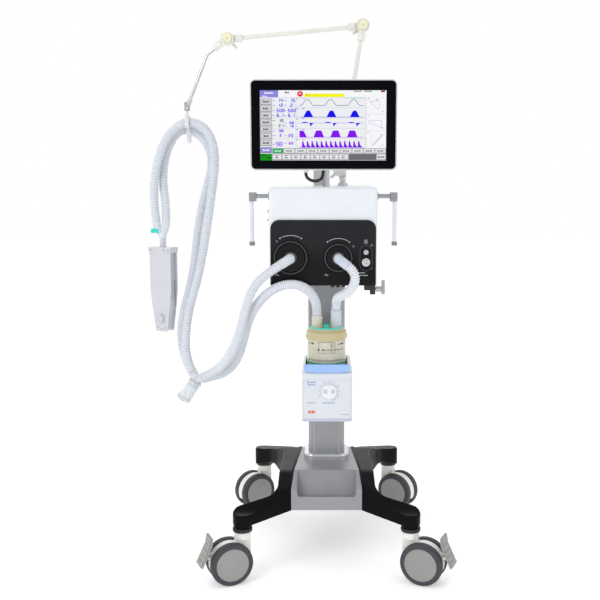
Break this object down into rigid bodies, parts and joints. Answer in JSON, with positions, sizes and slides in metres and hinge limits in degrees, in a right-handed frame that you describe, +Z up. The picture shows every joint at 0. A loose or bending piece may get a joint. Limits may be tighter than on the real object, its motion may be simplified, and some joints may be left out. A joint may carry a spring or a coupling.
{
  "type": "mechanical ventilator",
  "caption": "Mechanical ventilator on a braked four-leg trolley, with monitor, heated humidifier, ribbed breathing hoses, water traps, test lung and jointed hose arm.",
  "frame": {"origin": "on the floor, under the centre of the column", "axes": "+Z up, +X to the right of a person facing the screen, -Y towards that person"},
  "size_m": [0.8532, 0.6607, 1.4995],
  "materials": {
    "black_casting": "satin black paint",
    "base_silver": "satin silver moulding",
    "frame_steel": "grey coated steel",
    "caster_housing": "smooth white",
    "tyre": "matte grey polyurethane",
    "pedal_grey": "ribbed matte",
    "column_aluminium": "satin anodised",
    "collar_silver": "polished edge",
    "humidifier_grey": "smooth light grey",
    "dial_grey": "smooth",
    "guard_blue": "smooth light blue",
    "hot_plate": "machined",
    "chamber_clear": "clear moulded plastic",
    "seal_green": "soft green seal",
    "casing_white": "fine matte paint",
    "panel_black": "satin charcoal",
    "rear_grey": "fine matte paint",
    "port_black": "satin",
    "hose_fitting": "translucent",
    "gas_metal": "polished",
    "blower_plastic": "matte",
    "impeller_plastic": "matte",
    "battery_wrap": "matte",
    "board_green": "matte",
    "rail_metal": "satin",
    "post_white": "gloss",
    "clamp_black": "matte",
    "knob_steel": "cast steel",
    "mast_silver": "satin",
    "neck_beige": "satin",
    "monitor_silver": "smooth light silver",
    "monitor_black": "gloss black",
    "arm_ivory": "satin ivory",
    "rod_chrome": "polished",
    "hanger_white": "smooth",
    "lung_white": "smooth",
    "lung_bag": "matte",
    "hose_clear": "ribbed translucent",
    "cable_black": "matte"
  },
  "bodies": {
    "trolley": {"base_frame": "frame_steel", "base_center_cover": "base_silver", "leg_cover_left": "black_casting", "leg_cover_right": "black_casting", "column": "column_aluminium", "column_foot_collar": "collar_silver", "humidifier_body": "humidifier_grey", "heater_plate": "hot_plate", "chamber_dome": "chamber_clear", "chamber_seals": "seal_green", "main_casing": "casing_white", "rear_panel": "rear_grey", "front_panel": "panel_black", "breathing_ports": "port_black", "hose_connectors": "hose_fitting", "gas_inlets": "gas_metal", "gas_nozzles": "gas_metal", "blower_housing": "blower_plastic", "battery_pack": "battery_wrap", "control_board": "board_green", "side_rails": "rail_metal", "rail_posts": "post_white", "dock_clamp": "clamp_black", "top_mounts": "mast_silver", "exp_hose_lower": "hose_clear", "insp_hose_lower": "hose_clear", "chamber_hose": "hose_clear"},
    "front left caster": {"caster_fl_housing": "caster_housing"},
    "front left wheels": {"caster_fl_wheels": "tyre"},
    "left brake pedal": {"brake_pedal_left": "pedal_grey"},
    "front right caster": {"caster_fr_housing": "caster_housing"},
    "front right wheels": {"caster_fr_wheels": "tyre"},
    "right brake pedal": {"brake_pedal_right": "pedal_grey"},
    "rear left caster": {"caster_rl_housing": "caster_housing"},
    "rear left wheels": {"caster_rl_wheels": "tyre"},
    "rear right caster": {"caster_rr_housing": "caster_housing"},
    "rear right wheels": {"caster_rr_wheels": "tyre"},
    "humidifier dial": {"humidifier_dial": "dial_grey"},
    "chamber guard": {"humidifier_guard": "guard_blue"},
    "expiratory lock ring": {"exp_lock_ring": "port_black"},
    "inspiratory lock ring": {"insp_lock_ring": "port_black"},
    "blower impeller": {"blower_impeller": "impeller_plastic"},
    "dock knob": {"dock_knob": "knob_steel"},
    "power switch": {"power_switch": "clamp_black"},
    "monitor neck": {"monitor_neck": "neck_beige"},
    "monitor": {"monitor_shell": "monitor_silver", "monitor_glass": "monitor_black", "monitor_cable": "cable_black"},
    "arm base": {"arm_base": "arm_ivory", "water_traps": "hose_fitting"},
    "lower arm": {"arm_lower_link": "arm_ivory"},
    "upper arm": {"arm_upper_link": "arm_ivory"},
    "arm end": {"arm_end_sleeve": "arm_ivory", "arm_end_rod": "rod_chrome"},
    "hose hanger": {"hose_hanger": "hanger_white", "exp_hose_upper": "hose_clear", "insp_hose_upper": "hose_clear", "y_piece": "hose_fitting"},
    "test lung": {"lung_plates": "lung_white", "lung_bellows": "lung_bag"}
  },
  "joints": [
    {"name": "front left swivel", "type": "hinge", "parent": "trolley", "child": "front left caster", "pos_m": [-0.223, -0.276, 0.125], "axis": [0, 0, 1], "continuous": true},
    {"name": "front left wheel spin", "type": "hinge", "parent": "front left caster", "child": "front left wheels", "pos_m": [-0.25798, -0.29085, 0.0575], "axis": [0.3907, -0.9205, 0], "continuous": true},
    {"name": "left brake pedal", "type": "hinge", "parent": "front left caster", "child": "left brake pedal", "pos_m": [-0.31183, -0.31371, 0.0795], "axis": [0.3907, -0.9205, 0], "range_deg": [-8, 8]},
    {"name": "front right swivel", "type": "hinge", "parent": "trolley", "child": "front right caster", "pos_m": [0.223, -0.276, 0.125], "axis": [0, 0, 1], "continuous": true},
    {"name": "front right wheel spin", "type": "hinge", "parent": "front right caster", "child": "front right wheels", "pos_m": [0.25798, -0.29085, 0.0575], "axis": [0.3907, 0.9205, 0], "continuous": true},
    {"name": "right brake pedal", "type": "hinge", "parent": "front right caster", "child": "right brake pedal", "pos_m": [0.31183, -0.31371, 0.0795], "axis": [0.3907, 0.9205, 0], "range_deg": [-8, 8]},
    {"name": "rear left swivel", "type": "hinge", "parent": "trolley", "child": "rear left caster", "pos_m": [-0.201, 0.281, 0.125], "axis": [0, 0, 1], "continuous": true},
    {"name": "rear left wheel spin", "type": "hinge", "parent": "rear left caster", "child": "rear left wheels", "pos_m": [-0.23213, 0.2592, 0.0575], "axis": [0.5736, -0.8192, 0], "continuous": true},
    {"name": "rear right swivel", "type": "hinge", "parent": "trolley", "child": "rear right caster", "pos_m": [0.201, 0.281, 0.125], "axis": [0, 0, 1], "continuous": true},
    {"name": "rear right wheel spin", "type": "hinge", "parent": "rear right caster", "child": "rear right wheels", "pos_m": [0.23213, 0.2592, 0.0575], "axis": [0.5736, 0.8192, 0], "continuous": true},
    {"name": "humidifier dial", "type": "hinge", "parent": "trolley", "child": "humidifier dial", "pos_m": [0.007, -0.19, 0.493], "axis": [0, -1, 0], "range_deg": [0, 270]},
    {"name": "chamber guard slide", "type": "slide", "parent": "trolley", "child": "chamber guard", "axis": [0, 0, -1], "range_m": [0, 0.01], "stiffness_N_per_m": 300, "springref_m": -0.002},
    {"name": "expiratory lock", "type": "hinge", "parent": "trolley", "child": "expiratory lock ring", "pos_m": [-0.096, -0.16, 0.852], "axis": [0, 1, 0], "range_deg": [0, 40]},
    {"name": "inspiratory lock", "type": "hinge", "parent": "trolley", "child": "inspiratory lock ring", "pos_m": [0.0315, -0.16, 0.852], "axis": [0, 1, 0], "range_deg": [0, 40]},
    {"name": "blower spin", "type": "hinge", "parent": "trolley", "child": "blower impeller", "pos_m": [-0.06, 0, 0.91], "axis": [0, 0, 1], "continuous": true},
    {"name": "dock knob turn", "type": "hinge", "parent": "trolley", "child": "dock knob", "pos_m": [0.14, -0.13, 0.764], "axis": [1, 0, 0], "continuous": true},
    {"name": "power switch rock", "type": "hinge", "parent": "trolley", "child": "power switch", "pos_m": [0.064, 0.107, 0.827], "axis": [1, 0, 0], "range_deg": [-8, 8]},
    {"name": "monitor swivel", "type": "hinge", "parent": "trolley", "child": "monitor neck", "pos_m": [-0.0015, -0.06, 1.11], "axis": [0, 0, 1], "range_deg": [-35, 35]},
    {"name": "monitor tilt", "type": "hinge", "parent": "monitor neck", "child": "monitor", "pos_m": [-0.0015, -0.098, 1.2], "axis": [1, 0, 0], "range_deg": [-20, 5], "deforming": ["monitor_cable"]},
    {"name": "arm swivel", "type": "hinge", "parent": "trolley", "child": "arm base", "pos_m": [0.046, 0.03, 1.05], "axis": [0, 0, 1], "range_deg": [-10, 25], "deforming": ["exp_hose_lower", "insp_hose_lower"]},
    {"name": "arm foot tilt", "type": "hinge", "parent": "arm base", "child": "lower arm", "pos_m": [0.0375, 0.03, 1.084], "axis": [0, 1, 0], "range_deg": [-3, 3], "deforming": ["exp_hose_upper", "insp_hose_upper"]},
    {"name": "arm elbow", "type": "hinge", "parent": "lower arm", "child": "upper arm", "pos_m": [0.101, 0.03, 1.481], "axis": [0, 1, 0], "range_deg": [-3, 3], "deforming": ["exp_hose_upper", "insp_hose_upper"]},
    {"name": "arm wrist", "type": "hinge", "parent": "upper arm", "child": "arm end", "pos_m": [-0.276, 0.03, 1.445], "axis": [0, 1, 0], "range_deg": [-4, 4], "deforming": ["exp_hose_upper", "insp_hose_upper"]},
    {"name": "hanger swing", "type": "hinge", "parent": "arm end", "child": "hose hanger", "pos_m": [-0.391, 0.023, 1.256], "axis": [0, 1, 0], "range_deg": [-5, 5], "deforming": ["exp_hose_upper", "insp_hose_upper"]},
    {"name": "test lung swivel", "type": "hinge", "parent": "hose hanger", "child": "test lung", "pos_m": [-0.468, 0.021, 0.88], "axis": [0, 0, 1], "range_deg": [-90, 90]}
  ]
}
